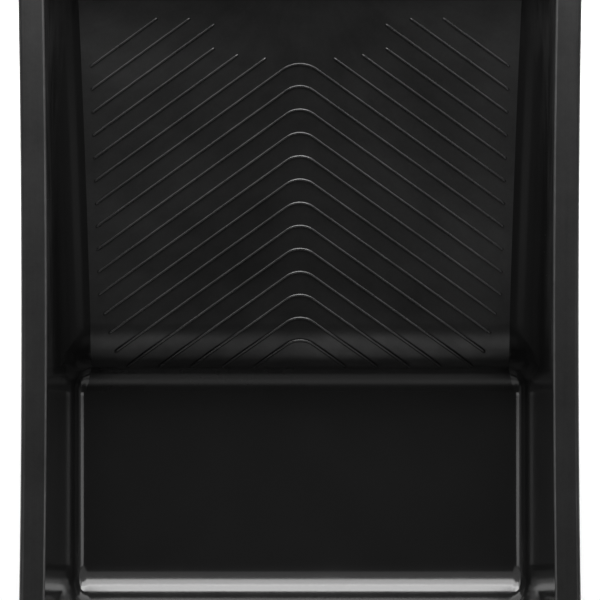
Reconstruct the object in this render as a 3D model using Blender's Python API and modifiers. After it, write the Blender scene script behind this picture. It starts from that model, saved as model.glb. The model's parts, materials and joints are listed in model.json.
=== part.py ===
"""Paint roller tray for a 230 mm roller: one plastic moulding with a deep paint well at the front,
a ribbed ramp that climbs to the back, a flat rim with a turned-down skirt, and two feet at the back.

Metres, +Z up, +Y towards the shallow end of the ramp. The origin is under the middle, on the table.
The moulding is held as its walls, floor, deck, rim and feet, a hair's breadth apart.
"""
import math

import bmesh
import bpy
from mathutils import Matrix, Vector

MM = 0.001
GAP = 0.3 * MM  # between neighbouring regions of the moulding
WALL = 2.0 * MM  # moulded wall thickness

# Rim
LENGTH = 372.2 * MM
HEIGHT = 72 * MM
RIM_OUTER_HALF = 144.7 * MM  # half width at the narrowest point
RIM_BAND = 13.4 * MM  # width of the flat rim
RIM_CORNER = 25 * MM  # plan radius of the rim's outer corners
SIDE_BOW = 1.9 * MM  # how far the long sides curve outwards towards the ends
BOW_CENTRE = -14 * MM
BOW_FULL_X = 100 * MM  # nearer the middle, and lower down, the bow fades out
BOW_FULL_Z = 60 * MM
SKIRT_DROP = 9 * MM
SKIRT_THICK = 1.8 * MM

# Inside of the tub
DRAFT = 0.1245  # sideways run of a wall for each unit of depth
INNER_HALF = RIM_OUTER_HALF - RIM_BAND
INNER_FRONT = LENGTH / 2 - RIM_BAND
INNER_CORNER = 12 * MM
FLOOR_Z = WALL
STEP_FOOT_Y = -41.3 * MM  # where the step would meet the floor without its cove
STEP_TOP_Y = -30.3 * MM  # where the step would meet the deck without its nose
DECK_LOW_Z = 27.9 * MM
DECK_SLOPE = 0.135
WELL_COVE = 5.6 * MM  # how far each cove reaches along the faces it joins
FRONT_COVE = 19.25 * MM
STEP_SIDE_COVE = 10.5 * MM
RAMP_COVE = 13.8 * MM
BACK_COVE = 13.5 * MM
STEP_COVE = 10.1 * MM
NOSE = 17.9 * MM
WIDEST_COVE = 20 * MM
COVE_STEPS = 6

# Chevron ribs on the deck
RIB_PITCH = 12.26 * MM
RIB_WIDTH = 1.4 * MM
RIB_HEIGHT = 0.9 * MM
RIB_ROOT = 0.6 * MM  # how far a rib reaches down into the deck
RIB_ANGLE = math.radians(35.3)  # between an arm and the width of the tray
RIB_APEX_RADIUS = 12.7 * MM
FIRST_APEX_RADIUS = 16 * MM
APEX_STEPS = 6
WHOLE_RIBS = 13
BROKEN_RIBS = 6
FIRST_RIB_Y = 127.6 * MM  # where the arms of the highest whole chevron would meet
RIB_END_HALF = 107.9 * MM  # half distance between a chevron's ends
RIB_END_SPREAD = 0.0245
RIB_TUCK = 0.245  # how fast the ends draw in towards the step
RIB_TUCK_Y = 1 * MM
RIB_LOW_Y = -37.3 * MM  # the lowest ribs stop on the face of the step
CLEAR_HALF = 45 * MM  # plain panel at the top of the deck, which the ribs stop short of
CLEAR_LOW_Y = 125 * MM
CLEAR_SPREAD = 0.125  # how fast the panel's lower edge climbs to the sides
CLEAR_HIGH_Y = 148 * MM

# Where the moulding is divided, clear of its coves
FLOOR_HALF = 117 * MM
FLOOR_FRONT = -144.4 * MM
FLOOR_BACK = -51.9 * MM
DECK_HALF_AT_STEP = 111.9 * MM
DECK_SPREAD = 0.02
STEP_CUT_Z = 11.4 * MM
DECK_BACK = 156.4 * MM
STEP_BACK = -30 * MM
FAR = 30 * MM  # how far a cutter reaches past the tray

# Feet
FOOT_X = 84 * MM
FOOT_BACK_Y = 158 * MM
FOOT_WIDTH = 34 * MM
FOOT_DEPTH = 15 * MM
FOOT_WALL = 2.2 * MM
FOOT_TAPER = 0.06
BRACE_LENGTH = 46 * MM
BRACE_HEIGHT = 30 * MM

BLACK = (0.012, 0.012, 0.013, 1.0)


def clear_scene():
    for obj in list(bpy.data.objects):
        bpy.data.objects.remove(obj, do_unlink=True)


def collection(name):
    made = bpy.data.collections.new(name)
    bpy.context.scene.collection.children.link(made)
    return made


def material(name, roughness):
    made = bpy.data.materials.new(name)
    made.use_nodes = True
    shader = made.node_tree.nodes["Principled BSDF"]
    shader.inputs["Base Color"].default_value = BLACK
    shader.inputs["Roughness"].default_value = roughness
    shader.inputs["IOR"].default_value = 1.49
    return made


def mesh_object(name, bm, home):
    bmesh.ops.recalc_face_normals(bm, faces=bm.faces)
    mesh = bpy.data.meshes.new(name)
    bm.to_mesh(mesh)
    bm.free()
    obj = bpy.data.objects.new(name, mesh)
    home.objects.link(obj)
    return obj


def as_cutter(obj):
    obj.hide_render = True
    obj.display_type = "WIRE"
    return obj


def bow(y):
    """Sideways growth of the long sides away from their narrowest point."""
    return SIDE_BOW * ((y - BOW_CENTRE) / (LENGTH / 2)) ** 2


def outline(half_x, half_y, radius, steps=6, along=8):
    """Plan outline with rounded corners and bowed long sides, counter-clockwise from the front left."""
    centres = ((1, -1, -90), (1, 1, 0), (-1, 1, 90), (-1, -1, 180))
    points = []
    for sx, sy, start in centres:
        cx = sx * (half_x - radius)
        cy = sy * (half_y - radius)
        for i in range(steps + 1):
            angle = math.radians(start + 90 * i / steps)
            points.append(Vector((cx + radius * math.cos(angle), cy + radius * math.sin(angle), 0)))
        if sx == sy:
            continue
        run = 2 * (half_y - radius) * (1 if sx > 0 else -1)
        for i in range(1, along):
            points.append(Vector((sx * half_x, cy + run * i / along, 0)))
    for point in points:
        point.x += math.copysign(bow(point.y), point.x) * min(1, abs(point.x) / (half_x - radius))
    return points


def ring_plate(name, outer, inner, z_low, z_high, home):
    """A flat band between two plan outlines that have the same number of points."""
    bm = bmesh.new()
    loops = []
    for line, z in ((outer, z_high), (inner, z_high), (inner, z_low), (outer, z_low)):
        loops.append([bm.verts.new((p.x, p.y, z)) for p in line])
    n = len(outer)
    for k in range(4):
        a = loops[k]
        b = loops[(k + 1) % 4]
        for i in range(n):
            bm.faces.new((a[i], a[(i + 1) % n], b[(i + 1) % n], b[i]))
    return mesh_object(name, bm, home)


def wall_half(z):
    return INNER_HALF - DRAFT * (HEIGHT - z)


def deck_z(y):
    return DECK_LOW_Z + DECK_SLOPE * (y - STEP_TOP_Y)


def tub_profile():
    """Lengthwise section of the inside, from the top of the front wall to the top of the back wall."""
    front_foot = -INNER_FRONT + DRAFT * (HEIGHT - FLOOR_Z)
    slope_run = DECK_SLOPE * DRAFT
    back_foot = (INNER_FRONT - DRAFT * (HEIGHT - deck_z(0))) / (1 - slope_run)
    return (
        (-INNER_FRONT, HEIGHT),
        (front_foot, FLOOR_Z),
        (STEP_FOOT_Y, FLOOR_Z),
        (STEP_TOP_Y, DECK_LOW_Z),
        (back_foot, deck_z(back_foot)),
        (INNER_FRONT, HEIGHT),
    )


def tub_block(home):
    """The inside of the tub as a solid block, with coves and corners rounded by weighted bevels."""
    bm = bmesh.new()
    rows = []
    for y, z in tub_profile():
        half = wall_half(z)
        rows.append((bm.verts.new((-half, y, z)), bm.verts.new((half, y, z))))
    for a, b in zip(rows, rows[1:] + rows[:1]):
        bm.faces.new((a[0], a[1], b[1], b[0]))
    for side in (0, 1):
        bm.faces.new([row[side] for row in rows])
    weight = bm.edges.layers.float.new("bevel_weight_edge")
    across = {1: FRONT_COVE, 2: STEP_COVE, 3: NOSE, 4: BACK_COVE}
    along = {0: INNER_CORNER, 1: WELL_COVE, 2: STEP_SIDE_COVE, 3: RAMP_COVE, 4: INNER_CORNER}
    for i, width in across.items():
        bm.edges.get(rows[i])[weight] = width / WIDEST_COVE
    for i, width in along.items():
        for side in (0, 1):
            bm.edges.get((rows[i][side], rows[i + 1][side]))[weight] = width / WIDEST_COVE
    block = mesh_object("tub_block", bm, home)
    bevel = block.modifiers.new("Coves", "BEVEL")
    bevel.limit_method = "WEIGHT"
    bevel.offset_type = "OFFSET"
    bevel.width = WIDEST_COVE
    bevel.segments = COVE_STEPS
    bevel.use_clamp_overlap = False
    return block


def settled(obj):
    """A bmesh of the object with its modifiers carried out."""
    graph = bpy.context.evaluated_depsgraph_get()
    bm = bmesh.new()
    bm.from_object(obj, graph)
    return bm


def tub_shell(block, home):
    """The block's surface without its lid, given the moulded wall thickness on the outside."""
    bm = settled(block)
    lid = [f for f in bm.faces if all(abs(v.co.z - HEIGHT) < 1e-6 for v in f.verts)]
    bmesh.ops.delete(bm, geom=lid, context="FACES")
    for i in range(1, 9):
        y = -LENGTH / 2 + LENGTH * i / 9
        geom = bm.verts[:] + bm.edges[:] + bm.faces[:]
        bmesh.ops.bisect_plane(bm, geom=geom, plane_co=(0, y, 0), plane_no=(0, 1, 0))
    for v in bm.verts:
        share = min(1, abs(v.co.x) / BOW_FULL_X) * min(1, v.co.z / BOW_FULL_Z)
        v.co.x += math.copysign(bow(v.co.y), v.co.x) * share
    shell = mesh_object("tub_shell", bm, home)
    wall = shell.modifiers.new("Wall", "SOLIDIFY")
    wall.thickness = WALL
    wall.offset = 1
    wall.use_even_offset = True
    return shell


def inset(polygon, amount):
    """The polygon with every side moved inwards, its corners listed counter-clockwise."""
    moved = []
    n = len(polygon)
    for i in range(n):
        before = Vector(polygon[i - 1])
        here = Vector(polygon[i])
        after = Vector(polygon[(i + 1) % n])
        a = (here - before).normalized()
        b = (after - here).normalized()
        normal_a = Vector((-a.y, a.x))
        normal_b = Vector((-b.y, b.x))
        shift = (normal_a + normal_b) / (1 + normal_a.dot(normal_b))
        moved.append(here + shift * amount)
    return moved


def prism(name, polygon, z_low, z_high, home):
    """An upright block on a plan polygon."""
    bm = bmesh.new()
    low = [bm.verts.new((p[0], p[1], z_low)) for p in polygon]
    high = [bm.verts.new((p[0], p[1], z_high)) for p in polygon]
    bm.faces.new(low[::-1])
    bm.faces.new(high)
    n = len(polygon)
    for i in range(n):
        bm.faces.new((low[i], low[(i + 1) % n], high[(i + 1) % n], high[i]))
    return mesh_object(name, bm, home)


def boolean(obj, operation, other):
    step = obj.modifiers.new(f"{operation.title()} {other.name}", "BOOLEAN")
    step.operation = operation
    step.solver = "EXACT"
    step.object = other


def region(name, source, polygon, z_low, z_high, roughness, tray, cutters):
    """The share of a moulded shell that lies over a plan polygon, as its own solid."""
    cutter = prism(f"cut_{name}", inset(polygon, GAP / 2), z_low, z_high, cutters)
    as_cutter(cutter)
    obj = bpy.data.objects.new(name, source.data.copy())
    obj.data.name = name
    tray.objects.link(obj)
    if source.modifiers:
        copy_wall(source, obj)
    boolean(obj, "INTERSECT", cutter)
    obj.data.materials.clear()
    obj.data.materials.append(material(f"{name}_plastic", roughness))
    for face in obj.data.polygons:
        face.use_smooth = True
    obj.data.set_sharp_from_angle(angle=math.radians(35))
    return obj


def copy_wall(source, obj):
    wall = obj.modifiers.new("Wall", "SOLIDIFY")
    wall.thickness = source.modifiers["Wall"].thickness
    wall.offset = source.modifiers["Wall"].offset
    wall.use_even_offset = True


def mirrored(polygon):
    return [(-x, y) for x, y in reversed(polygon)]


def rib_arc(corner_y, radius):
    """Right half of a chevron's rounded apex, from the middle outwards."""
    centre_y = corner_y - radius / math.cos(RIB_ANGLE)
    arc = []
    for i in range(APEX_STEPS + 1):
        turn = RIB_ANGLE * i / APEX_STEPS
        arc.append(Vector((radius * math.sin(turn), centre_y + radius * math.cos(turn))))
    return arc


def arm_y(corner_y, x):
    return corner_y - x * math.tan(RIB_ANGLE)


def deck_half(y):
    return DECK_HALF_AT_STEP + DECK_SPREAD * (y - STEP_TOP_Y)


def outer_end(corner_y):
    """Where an arm stops beside the side cove, or low on the step."""
    x = RIB_END_HALF
    for _ in range(20):
        y = arm_y(corner_y, x)
        limit = RIB_END_HALF + RIB_END_SPREAD * y - RIB_TUCK * max(0, RIB_TUCK_Y - y)
        x = (x + limit) / 2
    if arm_y(corner_y, x) < RIB_LOW_Y:
        x = (corner_y - RIB_LOW_Y) / math.tan(RIB_ANGLE)
    return Vector((x, arm_y(corner_y, x)))


def inner_end(corner_y):
    """Where a broken arm stops short of the plain panel."""
    slope = math.tan(RIB_ANGLE)
    to_low = (corner_y - CLEAR_LOW_Y) / (slope + CLEAR_SPREAD)
    to_high = (corner_y - CLEAR_HIGH_Y) / slope
    x = max(min(to_low, CLEAR_HALF), to_high)
    return Vector((x, arm_y(corner_y, x)))


def strip(line, width):
    """Plan outline of a narrow rib along a line."""
    left = []
    right = []
    for i, point in enumerate(line):
        before = line[max(i - 1, 0)]
        after = line[min(i + 1, len(line) - 1)]
        along = (after - before).normalized()
        side = Vector((-along.y, along.x)) * width / 2
        left.append(point + side)
        right.append(point - side)
    return left + right[::-1]


def rib_outlines():
    found = []
    for i in range(-BROKEN_RIBS, WHOLE_RIBS):
        corner_y = FIRST_RIB_Y - i * RIB_PITCH
        end = outer_end(corner_y)
        if i < 0:
            arm = [inner_end(corner_y), end]
            found.append(strip(arm, RIB_WIDTH))
            found.append(strip([Vector((-p.x, p.y)) for p in arm], RIB_WIDTH))
        else:
            radius = RIB_APEX_RADIUS if i else FIRST_APEX_RADIUS
            right = rib_arc(corner_y, radius) + [end]
            left = [Vector((-p.x, p.y)) for p in right[:0:-1]]
            found.append(strip(left + right, RIB_WIDTH))
    return found


def rib_set(block, cutters):
    """All the ribs: upright strips kept only within a thin band that follows the deck and its nose."""
    bm = settled(block)
    gone = []
    for f in bm.faces:
        centre = f.calc_center_median()
        level = abs(f.normal.x) > 0.02 or f.normal.z > -0.1
        if level or centre.y < STEP_FOOT_Y or centre.z < STEP_CUT_Z - 3 * MM:
            gone.append(f)
    bmesh.ops.delete(bm, geom=gone, context="FACES")
    band = mesh_object("rib_band", bm, cutters)
    wall = band.modifiers.new("Wall", "SOLIDIFY")
    wall.thickness = RIB_ROOT + RIB_HEIGHT
    wall.offset = (RIB_ROOT - RIB_HEIGHT) / (RIB_ROOT + RIB_HEIGHT)
    wall.use_even_offset = True
    as_cutter(band)
    bm = bmesh.new()
    for outline_points in rib_outlines():
        low = [bm.verts.new((p.x, p.y, STEP_CUT_Z + GAP / 2)) for p in outline_points]
        high = [bm.verts.new((p.x, p.y, HEIGHT)) for p in outline_points]
        n = len(low)
        for i in range(n):
            bm.faces.new((low[i], low[(i + 1) % n], high[(i + 1) % n], high[i]))
        bm.faces.new(low[::-1])
        bm.faces.new(high)
    ribs = mesh_object("rib_strips", bm, cutters)
    boolean(ribs, "INTERSECT", band)
    return as_cutter(ribs)


def foot(name, x, tray):
    """A channel-shaped foot, open towards the front, from the table up to the underside of the deck."""
    outer = FOOT_WIDTH / 2
    inner = outer - FOOT_WALL
    back = FOOT_BACK_Y
    front = back - FOOT_DEPTH
    plan = (
        (-outer, front),
        (-inner, front),
        (-inner, back - FOOT_WALL),
        (inner, back - FOOT_WALL),
        (inner, front),
        (outer, front),
        (outer, back),
        (-outer, back),
    )
    bm = bmesh.new()
    low = []
    high = []
    for px, py in plan:
        top = deck_z(py) - WALL * math.hypot(1, DECK_SLOPE) - GAP
        spread = 1 + FOOT_TAPER
        high.append(bm.verts.new((x + px * spread, py, top)))
        low.append(bm.verts.new((x + px, py, 0)))
    bm.faces.new(low)
    bm.faces.new(high[::-1])
    n = len(plan)
    for i in range(n):
        bm.faces.new((low[i], high[i], high[(i + 1) % n], low[(i + 1) % n]))
    obj = mesh_object(name, bm, tray)
    obj.data.materials.append(material(f"{name}_plastic", 0.35))
    return obj


def brace(name, x, tray):
    """A three-cornered web that stiffens a foot against the deck."""
    back = FOOT_BACK_Y - FOOT_WALL - GAP
    front = back - BRACE_LENGTH
    under = WALL * math.hypot(1, DECK_SLOPE) + GAP
    side = (
        (back, deck_z(back) - under),
        (back, deck_z(back) - under - BRACE_HEIGHT),
        (front, deck_z(front) - under - FOOT_WALL),
        (front, deck_z(front) - under),
    )
    bm = bmesh.new()
    left = [bm.verts.new((x - FOOT_WALL / 2, y, z)) for y, z in side]
    right = [bm.verts.new((x + FOOT_WALL / 2, y, z)) for y, z in side]
    bm.faces.new(left)
    bm.faces.new(right[::-1])
    for i in range(4):
        bm.faces.new((left[i], right[i], right[(i + 1) % 4], left[(i + 1) % 4]))
    obj = mesh_object(name, bm, tray)
    obj.data.materials.append(material(f"{name}_plastic", 0.35))
    return obj


def divide_tub(shell, ribs, tray, cutters):
    low = -FAR
    top = HEIGHT - WALL - GAP
    wide = LENGTH / 2
    reach = wide - FLOOR_HALF
    step_half = deck_half(FLOOR_BACK)
    back_half = deck_half(DECK_BACK)
    back_reach = wide - back_half
    floor = [
        (-FLOOR_HALF, FLOOR_FRONT),
        (FLOOR_HALF, FLOOR_FRONT),
        (FLOOR_HALF, FLOOR_BACK),
        (-FLOOR_HALF, FLOOR_BACK),
    ]
    front = [
        (-wide, FLOOR_FRONT - reach),
        (wide, FLOOR_FRONT - reach),
        (FLOOR_HALF, FLOOR_FRONT),
        (-FLOOR_HALF, FLOOR_FRONT),
    ]
    well_side = [
        (FLOOR_HALF, FLOOR_FRONT),
        (wide, FLOOR_FRONT - reach),
        (wide, FLOOR_BACK),
        (FLOOR_HALF, FLOOR_BACK),
    ]
    step = [
        (-step_half, FLOOR_BACK),
        (step_half, FLOOR_BACK),
        (deck_half(STEP_BACK), STEP_BACK),
        (-deck_half(STEP_BACK), STEP_BACK),
    ]
    deck = [
        (-step_half, FLOOR_BACK),
        (step_half, FLOOR_BACK),
        (back_half, DECK_BACK),
        (-back_half, DECK_BACK),
    ]
    ramp_side = [
        (step_half, FLOOR_BACK),
        (wide, FLOOR_BACK),
        (wide, DECK_BACK + back_reach),
        (back_half, DECK_BACK),
    ]
    end = [
        (-back_half, DECK_BACK),
        (back_half, DECK_BACK),
        (wide, DECK_BACK + back_reach),
        (-wide, DECK_BACK + back_reach),
    ]
    cuts = (
        ("well_floor", floor, low, top, 0.2),
        ("well_front_wall", front, low, top, 0.2),
        ("well_right_wall", well_side, low, top, 0.2),
        ("well_left_wall", mirrored(well_side), low, top, 0.2),
        ("step_face", step, low, STEP_CUT_Z - GAP / 2, 0.25),
        ("ramp_deck", deck, STEP_CUT_Z + GAP / 2, top, 0.45),
        ("ramp_right_wall", ramp_side, low, top, 0.25),
        ("ramp_left_wall", mirrored(ramp_side), low, top, 0.25),
        ("ramp_end_wall", end, low, top, 0.25),
    )
    for name, polygon, z_low, z_high, roughness in cuts:
        obj = region(name, shell, polygon, z_low, z_high, roughness, tray, cutters)
        if name == "ramp_deck":
            boolean(obj, "UNION", ribs)


def divide_rim(tray, cutters):
    outer = outline(RIM_OUTER_HALF, LENGTH / 2, RIM_CORNER)
    inner = outline(INNER_HALF, INNER_FRONT, INNER_CORNER)
    skirt_half = RIM_OUTER_HALF - SKIRT_THICK
    inside = outline(skirt_half, LENGTH / 2 - SKIRT_THICK, RIM_CORNER - SKIRT_THICK)
    top_low = HEIGHT - WALL
    rim = as_cutter(ring_plate("rim_band", outer, inner, top_low, HEIGHT, cutters))
    skirt_low = HEIGHT - SKIRT_DROP - WALL
    skirt = as_cutter(ring_plate("skirt_band", outer, inside, skirt_low, top_low - GAP, cutters))
    near_x = RIM_OUTER_HALF - RIM_CORNER
    near_y = LENGTH / 2 - RIM_CORNER
    far_x = near_x + 2 * FAR
    far_y = near_y + 2 * FAR
    right = [(near_x, -near_y), (far_x, -near_y), (far_x, near_y), (near_x, near_y)]
    front = [(-near_x, -far_y), (near_x, -far_y), (near_x, -near_y), (-near_x, -near_y)]
    corner = [(near_x, -far_y), (far_x, -far_y), (far_x, -near_y), (near_x, -near_y)]
    back = [(-x, -y) for x, y in front]
    back_left = [(-x, -y) for x, y in corner]
    for part, source in (("rim", rim), ("skirt", skirt)):
        for where, polygon in (
            ("front", front),
            ("back", back),
            ("right", right),
            ("left", mirrored(right)),
            ("front_right_corner", corner),
            ("front_left_corner", mirrored(corner)),
            ("back_left_corner", back_left),
            ("back_right_corner", mirrored(back_left)),
        ):
            name = f"{part}_{where}"
            region(name, source, polygon, 0, HEIGHT + FAR, 0.45, tray, cutters)


def main():
    clear_scene()
    tray = collection("paint_roller_tray")
    cutters = collection("cutters")
    block = as_cutter(tub_block(cutters))
    shell = as_cutter(tub_shell(block, cutters))
    ribs = rib_set(block, cutters)
    divide_tub(shell, ribs, tray, cutters)
    divide_rim(tray, cutters)
    for side, x in (("left", -FOOT_X), ("right", FOOT_X)):
        foot(f"{side}_foot", x, tray)
        brace(f"{side}_foot_brace", x, tray)
    cutters.hide_render = True


main()
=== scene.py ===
"""Looks of the paint roller tray: one smooth moulding with its ribs and feet, in a plain studio."""

import json
import math

import bmesh
import bpy
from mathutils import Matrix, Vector

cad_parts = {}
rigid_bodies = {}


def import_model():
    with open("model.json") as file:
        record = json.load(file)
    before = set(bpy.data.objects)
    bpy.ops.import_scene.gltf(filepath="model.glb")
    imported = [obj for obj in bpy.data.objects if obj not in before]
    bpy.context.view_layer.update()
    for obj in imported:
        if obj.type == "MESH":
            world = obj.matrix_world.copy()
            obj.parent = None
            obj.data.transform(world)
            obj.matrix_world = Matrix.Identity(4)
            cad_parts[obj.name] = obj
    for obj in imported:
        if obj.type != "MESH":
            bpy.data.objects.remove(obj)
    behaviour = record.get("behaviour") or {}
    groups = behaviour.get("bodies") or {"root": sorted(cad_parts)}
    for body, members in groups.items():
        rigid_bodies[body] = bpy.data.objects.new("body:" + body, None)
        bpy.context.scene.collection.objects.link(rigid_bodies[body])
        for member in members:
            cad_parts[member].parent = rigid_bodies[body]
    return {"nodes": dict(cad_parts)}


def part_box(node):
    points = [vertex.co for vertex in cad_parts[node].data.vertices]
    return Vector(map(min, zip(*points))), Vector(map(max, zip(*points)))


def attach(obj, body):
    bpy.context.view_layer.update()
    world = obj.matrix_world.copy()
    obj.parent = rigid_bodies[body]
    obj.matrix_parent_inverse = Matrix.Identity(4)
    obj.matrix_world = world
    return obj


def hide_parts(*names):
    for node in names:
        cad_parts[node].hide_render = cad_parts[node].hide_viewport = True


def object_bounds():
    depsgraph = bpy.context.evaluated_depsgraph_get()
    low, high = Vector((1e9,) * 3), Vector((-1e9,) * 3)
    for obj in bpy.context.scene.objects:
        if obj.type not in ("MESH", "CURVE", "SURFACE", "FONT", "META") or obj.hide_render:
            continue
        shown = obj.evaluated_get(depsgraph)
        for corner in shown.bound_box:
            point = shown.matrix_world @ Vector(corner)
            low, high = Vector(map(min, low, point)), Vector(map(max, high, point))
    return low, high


for startup_object in list(bpy.data.objects):
    bpy.data.objects.remove(startup_object, do_unlink=True)

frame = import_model()
CAD_LOW, CAD_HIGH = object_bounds()

MM = 0.001
TOUCH = 1e-6  # points nearer than this count as level with each other

# Sizes that come from the frame
RIM_Z = CAD_HIGH.z
HALF_LENGTH = CAD_HIGH.y
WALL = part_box("well_floor")[1].z  # the well stands on the table, so its floor's top is one wall up
FLOOR_Z = WALL
INNER_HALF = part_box("rim_right")[0].x
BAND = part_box("rim_front")[1].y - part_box("rim_front")[0].y
BOX_EASE = 0.02 * MM  # keeps the skirt just inside the frame's box
OUTER_HALF = INNER_HALF + BAND - BOX_EASE
INNER_FRONT = HALF_LENGTH - BAND
SKIRT_LOW_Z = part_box("skirt_front")[0].z

# Inside of the tub
DRAFT = 0.1245
INNER_CORNER = 12 * MM
SIDE_BOW = 1.9 * MM
BOW_CENTRE = -14 * MM
BOW_FULL_X = 100 * MM  # the bow fades from here towards the middle
BOW_FULL_Z = 60 * MM  # and from here downwards
STEP_FOOT_Y = -41.3 * MM
STEP_TOP_Y = -30.3 * MM
DECK_LOW_Z = 27.9 * MM
DECK_SLOPE = 0.135
WELL_COVE = 5.6 * MM  # how far each cove reaches along the faces it joins
FRONT_COVE = 19.25 * MM
STEP_SIDE_COVE = 10.5 * MM
RAMP_COVE = 13.8 * MM
BACK_COVE = 13.5 * MM
STEP_COVE = 10.1 * MM
NOSE = 17.9 * MM
WIDEST_COVE = 20 * MM
COVE_STEPS = 18
STATIONS = 28  # cuts along the tray that let its sides bow
SHEEN_FRONT_Y = -39 * MM  # the ramp's sides lose their polish between these two
SHEEN_BACK_Y = -28 * MM
STEP_LINE_Z = 11.4 * MM  # the deck's satin and its ribs end here, low on the step

# Rim
LIP = 1.0 * MM  # rounding between a wall and the rim
OUTER_EDGE = 2.5 * MM  # rounding between the rim and its skirt
EDGE_STEPS = 7
SKIRT_EASE = 0.3 * MM  # rounding along the skirt's lower edge

# Ribs
RIB_PITCH = 12.26 * MM
RIB_HALF_WIDTH = 0.8 * MM
RIB_HEIGHT = 0.9 * MM
RIB_ROOT = 0.3 * MM
RIB_ANGLE = math.radians(35.3)
APEX_RADIUS = 12.7 * MM
FIRST_APEX_RADIUS = 16 * MM
WHOLE_RIBS = 13
BROKEN_RIBS = 6
FIRST_RIB_Y = 127.6 * MM  # where the arms of the highest whole chevron would meet
RIB_END_HALF = 107.9 * MM
RIB_END_SPREAD = 0.0245  # how much further out the arms reach for each step up the deck
RIB_TUCK = 0.245  # how much less far, below RIB_TUCK_Y
RIB_TUCK_Y = 1 * MM
RIB_LOW_Y = -37.2 * MM
CLEAR_HALF = 45 * MM  # the plain panel's half width, and its sloping lower edge and level upper edge
CLEAR_LOW_Y = 125 * MM
CLEAR_SPREAD = 0.125
CLEAR_HIGH_Y = 148 * MM
RIB_STATION = 2 * MM
RIB_TIP = 0.8 * MM
TIP_SHARES = (0.6, 0.3, 0.1, 0.0)  # shares of RIB_TIP at which a tip is cut, out to its end
SMALLEST_TIP = 0.2
ARC_STEPS = 10
FEWEST_STEPS = 4
END_ROUNDS = 20  # rounds of halving that settle where an arm ends
# Half of a rib's section from its foot to its crest: share of the half width, share of the height.
RIB_SECTION = ((1.0, 0.0), (0.93, 0.3), (0.8, 0.58), (0.6, 0.79), (0.4, 0.91), (0.2, 0.98), (0.0, 1.0))

# Feet
FOOT_WALL = 2.2 * MM
FOOT_TAPER = 0.945  # how wide a foot is at the ground, as a share of its top
FOOT_EASE = 0.5 * MM

# Finishes of the moulding, in the order of its material slots; the lip's slot holds a painted highlight
INSIDE, STEP, RAMP_SIDE, DECK, RIM, LIP_PAINTED_HIGHLIGHT = range(6)
STRAIGHT_ACROSS = 0.001  # the most that the normal of a face running straight across leans sideways
LEVEL = 0.999  # a level face's normal points upwards by more than this
FACING_UP = 0.1  # and a face of the deck or its nose by more than this
STEP_REACH = 1.05 * STEP_COVE

# Edges turned by more than these degrees are rounded, or kept sharp in the shading
SKIRT_TURN = 50
FOOT_TURN = 30
SHADING_TURN = 35
RIB_SHADING_TURN = 60

PLASTIC_IOR = 1.49

# Camera, straight above the tray
LENS = 139
SENSOR = 36
CAMERA_PLACE = (0, -0.5 * MM, RIM_Z + 1.2)

# Studio
FLOOR_REACH = 4  # half the floor's width
FLOOR_GAP = 0.2 * MM  # keeps the floor's paper clear of the tray
FLOOR_GLOW = 0.42
HORIZON_GREY = 0.15
OVERHEAD_GREY = 0.05
OVERHEAD_FROM = 0.75  # how high the light comes from where the overhead grey starts

# Soft panels: name, place, aim, width, height, radiance
MIDDLE_PANELS = (
    ("light_back_low", (0, 0.8, 0.33), (0, 0, 0.25), 0.8, 0.52, 12),
    ("light_back_high", (0, 0.74, 0.74), (0, 0, 0.2), 0.62, 0.36, 9),
    ("light_back_top", (0, 0.55, 1.15), (0, 0, 0.05), 1.8, 0.55, 0.7),
    ("light_front", (0, -0.9, 0.57), (0, 0, 0.02), 1.4, 0.42, 0.8),
)
# The same for the right-hand panel of each pair
PAIRED_PANELS = (
    ("light", (1.355, -0.31, 1.6), (1.355, -0.31, 0), 1.45, 0.34, 2.4),
    ("light_low", (1.0, -0.25, 0.6), (0, -0.1, 0), 0.9, 0.7, 0.17),
    ("light_back", (0.6, 0.68, 0.6), (0, 0, 0.1), 0.5, 0.45, 3),
)


def mesh_object(name, bm):
    mesh = bpy.data.meshes.new(name)
    bm.to_mesh(mesh)
    bm.free()
    obj = bpy.data.objects.new(name, mesh)
    bpy.context.scene.collection.objects.link(obj)
    return obj


def settled(obj):
    """The object's mesh with its modifiers worked out."""
    bm = bmesh.new()
    bm.from_object(obj, bpy.context.evaluated_depsgraph_get())
    return bm


def turned_edges(bm, degrees):
    least = math.radians(degrees)
    return [e for e in bm.edges if len(e.link_faces) == 2 and e.calc_face_angle() > least]


def discard(obj):
    mesh = obj.data
    bpy.data.objects.remove(obj, do_unlink=True)
    bpy.data.meshes.remove(mesh)


def bow(y):
    """Sideways growth of the long sides away from their narrowest point."""
    return SIDE_BOW * ((y - BOW_CENTRE) / HALF_LENGTH) ** 2


def wall_half(z):
    return INNER_HALF - DRAFT * (RIM_Z - z)


def wall_end(z):
    return INNER_FRONT - DRAFT * (RIM_Z - z)


def deck_plane(y):
    return DECK_LOW_Z + DECK_SLOPE * (y - STEP_TOP_Y)


def tub_section(top):
    """Lengthwise section of the inside, from the top of the front wall to the top of the back wall."""
    back_foot = (INNER_FRONT - DRAFT * (RIM_Z - deck_plane(0))) / (1 - DECK_SLOPE * DRAFT)
    return (
        (-wall_end(top), top),
        (-wall_end(FLOOR_Z), FLOOR_Z),
        (STEP_FOOT_Y, FLOOR_Z),
        (STEP_TOP_Y, DECK_LOW_Z),
        (back_foot, deck_plane(back_foot)),
        (wall_end(top), top),
    )


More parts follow.
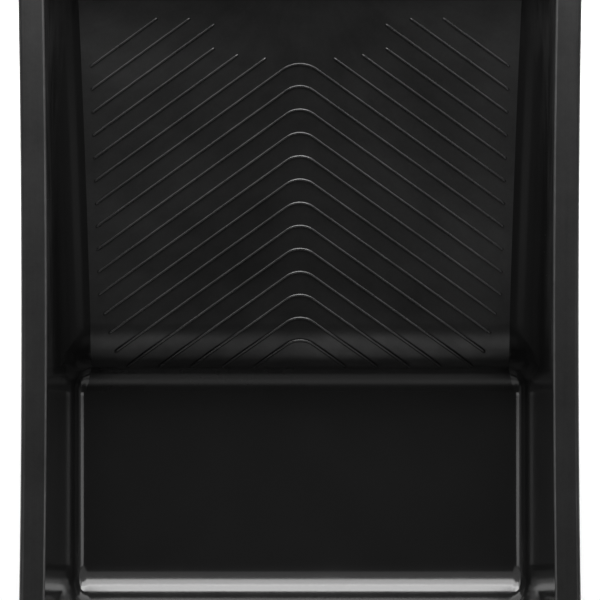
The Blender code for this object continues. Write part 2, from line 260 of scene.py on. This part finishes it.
def tub_block(top):
    """The inside of the tub as a solid block with rounded coves."""
    bm = bmesh.new()
    rows = []
    for y, z in tub_section(top):
        half = wall_half(z)
        rows.append((bm.verts.new((-half, y, z)), bm.verts.new((half, y, z))))
    for a, b in zip(rows, rows[1:] + rows[:1]):
        bm.faces.new((a[0], a[1], b[1], b[0]))
    for side in (0, 1):
        bm.faces.new([row[side] for row in rows])
    bmesh.ops.recalc_face_normals(bm, faces=bm.faces)
    weight = bm.edges.layers.float.new("bevel_weight_edge")
    across = {1: FRONT_COVE, 2: STEP_COVE, 3: NOSE, 4: BACK_COVE}
    along = {0: INNER_CORNER, 1: WELL_COVE, 2: STEP_SIDE_COVE, 3: RAMP_COVE, 4: INNER_CORNER}
    for i, width in across.items():
        bm.edges.get(rows[i])[weight] = width / WIDEST_COVE
    for i, width in along.items():
        for side in (0, 1):
            bm.edges.get((rows[i][side], rows[i + 1][side]))[weight] = width / WIDEST_COVE
    block = mesh_object("tub_block", bm)
    bevel = block.modifiers.new("Coves", "BEVEL")
    bevel.limit_method = "WEIGHT"
    bevel.offset_type = "OFFSET"
    bevel.width = WIDEST_COVE
    bevel.segments = COVE_STEPS
    bevel.use_clamp_overlap = False
    return block


def open_edge(bm):
    """The vertices round the open top, in order."""
    last = next(e for e in bm.edges if e.is_boundary)
    loop = list(last.verts)
    while True:
        last = next(e for e in loop[-1].link_edges if e.is_boundary and e is not last)
        vert = last.other_vert(loop[-1])
        if vert is loop[0]:
            return loop
        loop.append(vert)


def outward(point, top):
    """Plan direction straight out from the wall at a point of the open edge."""
    core_x = wall_half(top) - INNER_CORNER
    core_y = wall_end(top) - INNER_CORNER
    inner = Vector((max(-core_x, min(core_x, point.x)), max(-core_y, min(core_y, point.y)), 0))
    way = Vector((point.x, point.y, 0)) - inner
    return way.normalized()


def rim_rings(top):
    """How far out and how high each ring of the rim lies, from the lip to the skirt's lower edge."""
    reach = OUTER_HALF - wall_half(top)
    rings = []
    for i in range(1, EDGE_STEPS + 1):
        turn = math.pi / 2 * i / EDGE_STEPS
        rings.append((LIP * (1 - math.cos(turn)), top + LIP * math.sin(turn)))
    for i in range(EDGE_STEPS + 1):
        turn = math.pi / 2 * i / EDGE_STEPS
        out = reach - OUTER_EDGE * (1 - math.sin(turn))
        rings.append((out, RIM_Z - OUTER_EDGE * (1 - math.cos(turn))))
    rings.append((reach, SKIRT_LOW_Z))
    return rings


def add_rim(bm, top):
    loop = open_edge(bm)
    ways = [outward(v.co, top) for v in loop]
    base = [v.co.copy() for v in loop]
    n = len(loop)
    for k, (out, z) in enumerate(rim_rings(top)):
        ring = []
        for point, way in zip(base, ways):
            ring.append(bm.verts.new((point.x + way.x * out, point.y + way.y * out, z)))
        for i in range(n):
            j = (i + 1) % n
            face = bm.faces.new((loop[i], loop[j], ring[j], ring[i]))
            # The lip's rounding gets the lighter finish that paints a highlight along it.
            face.material_index = LIP_PAINTED_HIGHLIGHT if k < EDGE_STEPS else RIM
        loop = ring


def mark_finishes(bm, deck_end):
    """Tells the step, the satin deck and its nose, and the ramp's sides, from the polished well."""
    for face in bm.faces:
        if face.material_index != INSIDE:
            continue
        centre = face.calc_center_median()
        across = abs(face.normal.x) < STRAIGHT_ACROSS
        by_step = centre.z < STEP_LINE_Z and abs(centre.y - STEP_FOOT_Y) < STEP_REACH
        if across and by_step and face.normal.z < LEVEL:
            face.material_index = STEP
        if centre.z < STEP_LINE_Z or centre.y < STEP_FOOT_Y:
            continue
        if across and face.normal.z > FACING_UP and centre.y < deck_end:
            face.material_index = DECK
        else:
            face.material_index = RAMP_SIDE


def moulding():
    """The whole tray as one skin: tub, rim and skirt, with the plastic's thickness on the underside."""
    top = RIM_Z - LIP
    block = tub_block(top)
    bm = settled(block)
    discard(block)
    lid = [f for f in bm.faces if all(abs(v.co.z - top) < TOUCH for v in f.verts)]
    bmesh.ops.delete(bm, geom=lid, context="FACES")
    add_rim(bm, top)
    bmesh.ops.recalc_face_normals(bm, faces=bm.faces)
    floor = min(bm.faces, key=lambda f: f.calc_center_median().z)
    if floor.normal.z < 0:
        bmesh.ops.reverse_faces(bm, faces=bm.faces)
    for i in range(1, STATIONS):
        y = HALF_LENGTH * (2 * i / STATIONS - 1)
        geom = bm.verts[:] + bm.edges[:] + bm.faces[:]
        bmesh.ops.bisect_plane(bm, geom=geom, plane_co=(0, y, 0), plane_no=(0, 1, 0))
    mark_finishes(bm, wall_end(deck_plane(HALF_LENGTH)) - BACK_COVE)
    for v in bm.verts:
        share = min(1, abs(v.co.x) / BOW_FULL_X) * min(1, v.co.z / BOW_FULL_Z)
        v.co.x += math.copysign(bow(v.co.y), v.co.x) * share
    sheet = mesh_object("sheet", bm)
    wall = sheet.modifiers.new("Wall", "SOLIDIFY")
    wall.thickness = WALL
    wall.offset = -1
    wall.use_quality_normals = True
    bm = settled(sheet)
    discard(sheet)
    bmesh.ops.bevel(
        bm, geom=turned_edges(bm, SKIRT_TURN), offset=SKIRT_EASE, segments=2, affect="EDGES", profile=0.5
    )
    return finished("tray_moulding", bm)


def finished(name, bm, sharp=SHADING_TURN):
    """Smooth shading whose normals follow the large faces."""
    for face in bm.faces:
        face.smooth = True
    obj = mesh_object(name, bm)
    obj.data.set_sharp_from_angle(angle=math.radians(sharp))
    normals = obj.modifiers.new("Normals", "WEIGHTED_NORMAL")
    normals.mode = "FACE_AREA"
    normals.keep_sharp = True
    return obj


def deck_surface(y):
    """Height of the ramp's middle, over the nose and down to the step's line."""
    deck_angle = math.atan(DECK_SLOPE)
    step_angle = math.atan2(DECK_LOW_Z - FLOOR_Z, STEP_TOP_Y - STEP_FOOT_Y)
    radius = NOSE / math.tan((step_angle - deck_angle) / 2)
    start_y = STEP_TOP_Y + NOSE * math.cos(deck_angle)
    if y >= start_y:
        return deck_plane(y)
    centre_y = start_y + radius * math.sin(deck_angle)
    centre_z = deck_plane(start_y) - radius * math.cos(deck_angle)
    turn = min(math.asin((centre_y - y) / radius), step_angle)
    return centre_z + radius * math.cos(turn)


def arm_y(corner_y, x):
    return corner_y - x * math.tan(RIB_ANGLE)


def outer_end(corner_y):
    """Where an arm stops beside the side cove, or low on the step."""
    x = RIB_END_HALF
    for _ in range(END_ROUNDS):
        y = arm_y(corner_y, x)
        limit = RIB_END_HALF + RIB_END_SPREAD * y - RIB_TUCK * max(0, RIB_TUCK_Y - y)
        x = (x + limit) / 2
    if arm_y(corner_y, x) < RIB_LOW_Y:
        x = (corner_y - RIB_LOW_Y) / math.tan(RIB_ANGLE)
    return Vector((x, arm_y(corner_y, x)))


def inner_end(corner_y):
    """Where a broken arm stops short of the plain panel."""
    slope = math.tan(RIB_ANGLE)
    to_low = (corner_y - CLEAR_LOW_Y) / (slope + CLEAR_SPREAD)
    to_high = (corner_y - CLEAR_HIGH_Y) / slope
    x = max(min(to_low, CLEAR_HALF), to_high)
    return Vector((x, arm_y(corner_y, x)))


def stretch(start, end):
    """Points along a straight arm, close together where it ends."""
    run = end - start
    steps = max(FEWEST_STEPS, round(run.length / RIB_STATION))
    points = [start + run * i / steps for i in range(1, steps)]
    tips = [end - run.normalized() * RIB_TIP * share for share in TIP_SHARES]
    return points + tips


def rib_arc(corner_y, radius):
    """Right half of a chevron's rounded apex, from the middle outwards."""
    centre_y = corner_y - radius / math.cos(RIB_ANGLE)
    arc = []
    for i in range(ARC_STEPS + 1):
        turn = RIB_ANGLE * i / ARC_STEPS
        arc.append(Vector((radius * math.sin(turn), centre_y + radius * math.cos(turn))))
    return arc


def rib_lines():
    lines = []
    for i in range(-BROKEN_RIBS, WHOLE_RIBS):
        corner_y = FIRST_RIB_Y - i * RIB_PITCH
        end = outer_end(corner_y)
        if i < 0:
            start = inner_end(corner_y)
            middle = (start + end) / 2
            arm = stretch(middle, start)[::-1] + [middle] + stretch(middle, end)
            lines.append(arm)
            lines.append([Vector((-p.x, p.y)) for p in arm])
        else:
            arc = rib_arc(corner_y, APEX_RADIUS if i else FIRST_APEX_RADIUS)
            right = arc + stretch(arc[-1], end)
            lines.append([Vector((-p.x, p.y)) for p in right[:0:-1]] + right)
    return lines


def add_rib(bm, line):
    """A rounded ridge along a plan line, with rounded tips, sunk a little into the deck."""
    section = [(-t, h) for t, h in RIB_SECTION] + [(t, h) for t, h in RIB_SECTION[-2::-1]]
    lengths = [0.0]
    for a, b in zip(line, line[1:]):
        lengths.append(lengths[-1] + (b - a).length)
    rows = []
    for i, point in enumerate(line):
        before = line[max(i - 1, 0)]
        after = line[min(i + 1, len(line) - 1)]
        along = (after - before).normalized()
        side = Vector((along.y, -along.x))
        from_tip = min(lengths[i], lengths[-1] - lengths[i], RIB_TIP)
        size = max(SMALLEST_TIP, math.sqrt(1 - (1 - from_tip / RIB_TIP) ** 2))
        row = []
        for across, up in section:
            p = point + side * across * RIB_HALF_WIDTH * size
            row.append(bm.verts.new((p.x, p.y, deck_surface(p.y) + up * RIB_HEIGHT * size)))
        for across in (1, -1):
            p = point + side * across * RIB_HALF_WIDTH * size
            row.append(bm.verts.new((p.x, p.y, deck_surface(p.y) - RIB_ROOT)))
        rows.append(row)
    n = len(rows[0])
    for a, b in zip(rows, rows[1:]):
        for k in range(n):
            bm.faces.new((a[k], a[(k + 1) % n], b[(k + 1) % n], b[k]))
    bm.faces.new(rows[0])
    bm.faces.new(rows[-1][::-1])


def ribs():
    bm = bmesh.new()
    for line in rib_lines():
        add_rib(bm, line)
    bmesh.ops.recalc_face_normals(bm, faces=bm.faces)
    return finished("chevron_ribs", bm, sharp=RIB_SHADING_TURN)


def foot(name, node, brace_node):
    """A channel-shaped foot that narrows downwards, with its brace and rounded edges."""
    low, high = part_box(node)
    web_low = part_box(brace_node)[0]
    x = (low.x + high.x) / 2
    half_top = (high.x - low.x) / 2
    wall = FOOT_WALL
    front = low.y
    back = high.y
    bm = bmesh.new()
    ground = []
    top = []
    for half, ring in ((half_top * FOOT_TAPER, ground), (half_top, top)):
        for across, y in (
            (-half, front),
            (-half + wall, front),
            (-half + wall, back - wall),
            (half - wall, back - wall),
            (half - wall, front),
            (half, front),
            (half, back),
            (-half, back),
        ):
            z = deck_plane(y) - WALL if ring is top else 0
            ring.append(bm.verts.new((x + across, y, z)))
    bm.faces.new(ground[::-1])
    bm.faces.new(top)
    for i in range(len(top)):
        j = (i + 1) % len(top)
        bm.faces.new((ground[i], ground[j], top[j], top[i]))
    obj = mesh_object(name, bm)
    bpy.context.view_layer.update()
    bm = bmesh.new()
    left = []
    right = []
    root = back - wall / 2
    for y, z in (
        (root, deck_plane(root) - WALL),
        (root, web_low.z),
        (web_low.y, deck_plane(web_low.y) - WALL - wall),
        (web_low.y, deck_plane(web_low.y) - WALL),
    ):
        left.append(bm.verts.new((x - wall / 2, y, z)))
        right.append(bm.verts.new((x + wall / 2, y, z)))
    bm.faces.new(left)
    bm.faces.new(right[::-1])
    for i in range(4):
        bm.faces.new((left[i], right[i], right[(i + 1) % 4], left[(i + 1) % 4]))
    bmesh.ops.recalc_face_normals(bm, faces=bm.faces)
    web = mesh_object(name + "_web", bm)
    web.hide_render = True
    join = obj.modifiers.new("Web", "BOOLEAN")
    join.operation = "UNION"
    join.solver = "EXACT"
    join.object = web
    bm = settled(obj)
    discard(obj)
    discard(web)
    bmesh.ops.bevel(
        bm, geom=turned_edges(bm, FOOT_TURN), offset=FOOT_EASE, segments=3, affect="EDGES", profile=0.5
    )
    return finished(name, bm)


class Nodes:
    """Short calls for building one material's node tree."""

    def __init__(self, name):
        self.material = bpy.data.materials.new(name)
        self.material.use_nodes = True
        self.tree = self.material.node_tree
        self.shader = self.tree.nodes["Principled BSDF"]
        self.place = self.add("ShaderNodeTexCoord").outputs["Object"]

    def add(self, kind, **settings):
        node = self.tree.nodes.new(kind)
        for key, value in settings.items():
            setattr(node, key, value)
        return node

    def link(self, a, b):
        self.tree.links.new(a, b)

    def noise(self, scale, detail=2.0, rough=0.5, stretch=(1, 1, 1), turn=0.0, where=None):
        """Noise whose scale counts patches to the metre."""
        shift = self.add("ShaderNodeMapping")
        shift.inputs["Scale"].default_value = stretch
        shift.inputs["Rotation"].default_value = (0, 0, turn)
        self.link(where or self.place, shift.inputs["Vector"])
        node = self.add("ShaderNodeTexNoise")
        node.inputs["Scale"].default_value = scale
        node.inputs["Detail"].default_value = detail
        node.inputs["Roughness"].default_value = rough
        self.link(shift.outputs["Vector"], node.inputs["Vector"])
        return node.outputs["Fac"]

    def remap(self, value, low, high, to_low, to_high):
        node = self.add("ShaderNodeMapRange")
        for key, number in (("From Min", low), ("From Max", high), ("To Min", to_low), ("To Max", to_high)):
            node.inputs[key].default_value = number
        self.link(value, node.inputs["Value"])
        return node.outputs["Result"]

    def math(self, operation, a, b):
        node = self.add("ShaderNodeMath", operation=operation)
        for socket, value in zip(node.inputs, (a, b)):
            if isinstance(value, (int, float)):
                socket.default_value = value
            else:
                self.link(value, socket)
        return node.outputs["Value"]

    def tint(self, value, dark, light, rub_and_painted_light=None):
        """Base colour from dark to light, and on to a lighter top colour at the top of the scale: painted
        light with rub marks.
        """
        ramp = self.add("ShaderNodeValToRGB")
        shades = ramp.color_ramp.elements
        shades[0].color = (*dark, 1)
        shades[1].color = (*light, 1)
        shades[0].position = 0.1 if rub_and_painted_light else 0.3
        shades[1].position = 0.3 if rub_and_painted_light else 0.7
        if rub_and_painted_light:
            shades.new(1.0).color = (*rub_and_painted_light, 1)
        self.link(value, ramp.inputs["Fac"])
        self.link(ramp.outputs["Color"], self.shader.inputs["Base Color"])

    def bump(self, height, depth, after=None):
        node = self.add("ShaderNodeBump")
        node.inputs["Distance"].default_value = depth
        self.link(height, node.inputs["Height"])
        if after:
            self.link(after, node.inputs["Normal"])
        return node.outputs["Normal"]


def polished_plastic(
    name, shade, rub_and_painted_light, rough, specular=0.5, painted_light_from=0.35, far_rough=None, far_specular=None
):
    """Glossy black plastic: moulding waves, pores, fine scuffs, and walls painted lighter towards the rim,
    a painted light with streaked rub marks in it.

    The painted lightening starts at the given share of the rim's height. With the far values given, the
    finish changes to them up the ramp."""
    n = Nodes(name)
    clouds = n.noise(scale=26, detail=4, rough=0.6)
    apart = n.add("ShaderNodeSeparateXYZ")
    n.link(n.place, apart.inputs["Vector"])
    # Painted light: the walls' base colour turns lighter towards the rim, streaked with rub marks.
    height = n.remap(apart.outputs["Z"], painted_light_from * RIM_Z, RIM_Z, 0.0, 1.0)
    streaks = n.noise(scale=420, detail=3, rough=0.6, stretch=(1, 0.05, 1))
    painted_top_light_and_rub = n.math("MULTIPLY", n.math("POWER", height, 1.4), n.remap(streaks, 0.35, 0.65, 0.3, 1.0))
    tone_rub_and_painted_light = n.math("ADD", n.math("MULTIPLY", clouds, 0.4), painted_top_light_and_rub)
    n.tint(tone_rub_and_painted_light, dark=3 * [shade], light=3 * [1.15 * shade], rub_and_painted_light=3 * [rub_and_painted_light])
    scuffs = n.noise(scale=90, detail=3, rough=0.7, stretch=(1, 14, 1), turn=0.6)
    scuffs = n.remap(scuffs, 0.62, 0.75, 0.0, 0.05)
    marks = n.math("ADD", n.remap(clouds, 0.3, 0.7, 0.0, 0.04), scuffs)
    if far_rough:
        along = apart.outputs["Y"]
        rough = n.remap(along, SHEEN_FRONT_Y, SHEEN_BACK_Y, rough, far_rough)
        shine = n.remap(along, SHEEN_FRONT_Y, SHEEN_BACK_Y, specular, far_specular)
        n.link(shine, n.shader.inputs["Specular IOR Level"])
    else:
        n.shader.inputs["Specular IOR Level"].default_value = specular
    n.link(n.math("ADD", marks, rough), n.shader.inputs["Roughness"])
    waves = n.bump(n.noise(scale=45), depth=0.03 * MM)
    drawn = n.bump(streaks, depth=0.008 * MM, after=waves)
    pores = n.bump(n.noise(scale=2600), depth=0.004 * MM, after=drawn)
    n.link(pores, n.shader.inputs["Normal"])
    n.shader.inputs["IOR"].default_value = PLASTIC_IOR
    return n.material


def deck_flow(n):
    """Streaks that fan out over the deck from its upper end, where the plastic entered the mould."""
    apart = n.add("ShaderNodeSeparateXYZ")
    n.link(n.place, apart.inputs["Vector"])
    down = n.math("SUBTRACT", HALF_LENGTH, apart.outputs["Y"])
    angle = n.math("ARCTAN2", apart.outputs["X"], down)
    polar = n.add("ShaderNodeCombineXYZ")
    n.link(angle, polar.inputs["X"])
    n.link(n.math("MULTIPLY", down, 3.0), polar.inputs["Y"])
    return n.noise(scale=9, detail=3, rough=0.6, where=polar.outputs["Vector"])


def handled(n):
    """Uneven sheen of the deck: duller where rollers run, shinier along both sides, blotched all over."""
    apart = n.add("ShaderNodeSeparateXYZ")
    n.link(n.place, apart.inputs["Vector"])
    out = n.remap(n.math("ABSOLUTE", apart.outputs["X"], 0.0), 20 * MM, 100 * MM, 0.0, 1.0)
    lower = n.remap(apart.outputs["Y"], -20 * MM, 12 * MM, 0.0, 1.0)
    upper = n.remap(apart.outputs["Y"], 115 * MM, 150 * MM, 1.0, 0.3)
    rolled = n.math("MULTIPLY", lower, upper)
    shine = n.remap(out, 0.0, 1.0, 0.76, 1.32)
    even = n.math("ADD", n.math("MULTIPLY", shine, rolled), n.math("SUBTRACT", 1.0, rolled))
    patches = n.noise(scale=16, detail=3, rough=0.6, stretch=(0.7, 1.6, 1), turn=0.4)
    return n.math("MULTIPLY", even, n.remap(patches, 0.38, 0.62, 0.82, 1.18))


def satin_plastic(name, shade, rough, specular, finish):
    """Spark-eroded satin: fine grain and clouded sheen, flow streaks on the deck, rub marks on the rim."""
    n = Nodes(name)
    clouds = n.math("MULTIPLY", n.noise(scale=21, detail=6, rough=0.6), 0.6)
    speckle = n.math("MULTIPLY", n.noise(scale=480, detail=3, rough=0.7), 0.15)
    clouds = n.math("ADD", clouds, speckle)
    if finish == "deck":
        marks = deck_flow(n)
    elif finish == "rim":
        marks = n.noise(scale=300, detail=4, rough=0.7, stretch=(1, 0.02, 1))
    else:
        marks = n.noise(scale=140, detail=3, rough=0.6)
    clouds = n.math("ADD", clouds, n.math("MULTIPLY", marks, 0.25))
    n.tint(clouds, dark=3 * [0.55 * shade], light=3 * [1.45 * shade])
    n.link(n.remap(clouds, 0.35, 0.65, 1.08 * rough, 0.92 * rough), n.shader.inputs["Roughness"])
    sheen = n.remap(clouds, 0.35, 0.65, 0.7 * specular, 1.3 * specular)
    if finish == "deck":
        sheen = n.math("MULTIPLY", sheen, handled(n))
    n.link(sheen, n.shader.inputs["Specular IOR Level"])
    grain = n.bump(n.noise(scale=2200, detail=3, rough=0.6), depth=0.02 * MM)
    dimples = n.bump(n.noise(scale=380), depth=0.01 * MM, after=grain)
    n.link(dimples, n.shader.inputs["Normal"])
    n.shader.inputs["IOR"].default_value = PLASTIC_IOR
    return n.material


def pale_floor():
    n = Nodes("studio_floor_paper")
    clouds = n.noise(scale=3, detail=4, rough=0.6)
    n.tint(clouds, dark=(0.88, 0.88, 0.88), light=(0.91, 0.91, 0.91))
    n.shader.inputs["Roughness"].default_value = 0.9
    n.shader.inputs["Emission Color"].default_value = (1, 1, 1, 1)
    n.shader.inputs["Emission Strength"].default_value = FLOOR_GLOW
    return n.material


def studio_floor():
    bm = bmesh.new()
    bmesh.ops.create_grid(bm, x_segments=8, y_segments=8, size=FLOOR_REACH)
    floor = mesh_object("studio_floor", bm)
    floor.location.z = -FLOOR_GAP
    floor.data.materials.append(pale_floor())


def panel(name, place, aim, width, height, radiance):
    """A soft light panel that looks equally bright from everywhere."""
    light = bpy.data.lights.new(name, "AREA")
    light.shape = "RECTANGLE"
    light.size = width
    light.size_y = height
    light.energy = radiance * math.pi * width * height
    obj = bpy.data.objects.new(name, light)
    obj.location = place
    obj.rotation_mode = "QUATERNION"
    obj.rotation_quaternion = (Vector(aim) - Vector(place)).to_track_quat("-Z", "Y")
    obj.visible_camera = False
    bpy.context.scene.collection.objects.link(obj)


def studio_lights():
    for settings in MIDDLE_PANELS:
        panel(*settings)
    for side, sign in (("left", -1), ("right", 1)):
        for name, place, aim, width, height, radiance in PAIRED_PANELS:
            place = (sign * place[0], *place[1:])
            aim = (sign * aim[0], *aim[1:])
            panel(f"{name}_{side}", place, aim, width, height, radiance)


def studio_world():
    world = bpy.data.worlds.new("studio")
    bpy.context.scene.world = world
    world.use_nodes = True
    tree = world.node_tree
    back = tree.nodes["Background"]
    coord = tree.nodes.new("ShaderNodeTexCoord")
    apart = tree.nodes.new("ShaderNodeSeparateXYZ")
    ramp = tree.nodes.new("ShaderNodeValToRGB")
    horizon, overhead = ramp.color_ramp.elements
    horizon.position = 0.0
    horizon.color = (*3 * [HORIZON_GREY], 1)
    overhead.position = OVERHEAD_FROM
    overhead.color = (*3 * [OVERHEAD_GREY], 1)
    tree.links.new(coord.outputs["Generated"], apart.inputs["Vector"])
    tree.links.new(apart.outputs["Z"], ramp.inputs["Fac"])
    tree.links.new(ramp.outputs["Color"], back.inputs["Color"])


def camera():
    data = bpy.data.cameras.new("camera")
    data.sensor_width = SENSOR
    data.lens = LENS
    obj = bpy.data.objects.new("camera", data)
    obj.location = CAMERA_PLACE
    bpy.context.scene.collection.objects.link(obj)
    bpy.context.scene.camera = obj


def main():
    camera()
    studio_world()
    studio_lights()
    studio_floor()
    finishes = (
        polished_plastic("polished_plastic", shade=0.0072, rub_and_painted_light=0.009, rough=0.13),
        polished_plastic("step_plastic", shade=0.0058, rub_and_painted_light=0.012, rough=0.26, specular=0.42),
        polished_plastic(
            "ramp_side_plastic",
            shade=0.0048,
            rub_and_painted_light=0.024,
            rough=0.13,
            painted_light_from=0.62,
            far_rough=0.2,
            far_specular=0.05,
        ),
        satin_plastic("satin_deck_plastic", shade=0.0034, rough=0.35, specular=0.5, finish="deck"),
        satin_plastic("satin_rim_plastic", shade=0.0045, rough=0.39, specular=0.53, finish="rim"),
        # The lip's base colour, about ten times the rim's, is a painted highlight along the rim's inner
        # edge.
        satin_plastic("painted_highlight_lip_plastic", shade=0.043, rough=0.35, specular=0.5, finish="plain"),
    )
    tray = moulding()
    for finish in finishes:
        tray.data.materials.append(finish)
    chevrons = ribs()
    ridge = satin_plastic("rib_plastic", shade=0.006, rough=0.27, specular=0.6, finish="plain")
    chevrons.data.materials.append(ridge)
    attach(tray, "root")
    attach(chevrons, "root")
    for side in ("left", "right"):
        made = foot(f"{side}_channel_foot", f"{side}_foot", f"{side}_foot_brace")
        made.data.materials.append(finishes[RIM])
        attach(made, "root")
        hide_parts(f"{side}_foot", f"{side}_foot_brace")
    moulded = [node for node in frame["nodes"] if "foot" not in node]
    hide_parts(*moulded)
    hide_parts("ramp_deck")
    bpy.context.scene.view_settings.view_transform = "Standard"


main()
